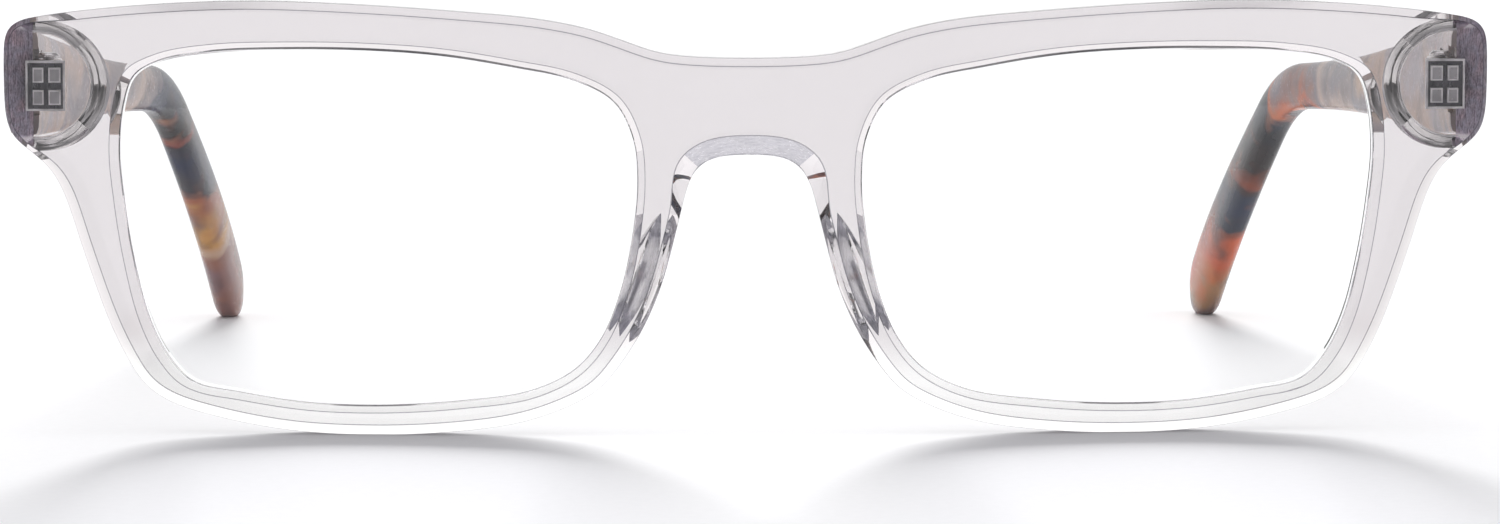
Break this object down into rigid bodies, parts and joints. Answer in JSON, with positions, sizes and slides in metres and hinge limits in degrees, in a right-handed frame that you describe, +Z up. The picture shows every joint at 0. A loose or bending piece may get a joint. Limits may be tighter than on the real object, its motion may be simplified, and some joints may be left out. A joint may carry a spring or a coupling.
{
  "type": "eyeglasses",
  "caption": "Rectangular clear plastic spectacles with plain lenses, moulded nose pads and mottled brown temples that fold inwards on metal hinges.",
  "frame": {"origin": "on the table plane, under the middle of the object's box, with the temples open", "axes": "+X to the right in a view of the front, +Y from the front towards the temple tips, +Z up; the front stands upright on its rims"},
  "size_m": [0.1424, 0.1292, 0.0414],
  "materials": {
    "clear_acetate": "polished clear acetate with a faint grey lilac cast",
    "pad_acetate": "polished clear acetate",
    "lens": "clear polished, faint coating sheen",
    "tortoise_acetate": "polished mottled brown, blue grey and amber acetate",
    "hinge_metal": "bright nickel silver",
    "screw_metal": "bright steel",
    "wire_metal": "plain nickel silver wire"
  },
  "bodies": {
    "front": {"front_frame": "clear_acetate", "lens_left": "lens", "lens_right": "lens", "nose_pad_left": "pad_acetate", "nose_pad_right": "pad_acetate", "front_hinge_left": "hinge_metal", "front_hinge_right": "hinge_metal", "hinge_screw_left": "screw_metal", "hinge_screw_right": "screw_metal"},
    "temple_left": {"temple_left": "tortoise_acetate", "temple_hinge_left": "hinge_metal", "core_wire_left": "wire_metal"},
    "temple_right": {"temple_right": "tortoise_acetate", "temple_hinge_right": "hinge_metal", "core_wire_right": "wire_metal"}
  },
  "joints": [
    {"name": "fold_left", "type": "hinge", "parent": "front", "child": "temple_left", "pos_m": [-0.0669, -0.05171, 0.03314], "axis": [0, 0, -1], "range_deg": [0, 87]},
    {"name": "fold_right", "type": "hinge", "parent": "front", "child": "temple_right", "pos_m": [0.0669, -0.05171, 0.03314], "axis": [0, 0, 1], "range_deg": [0, 81]}
  ]
}
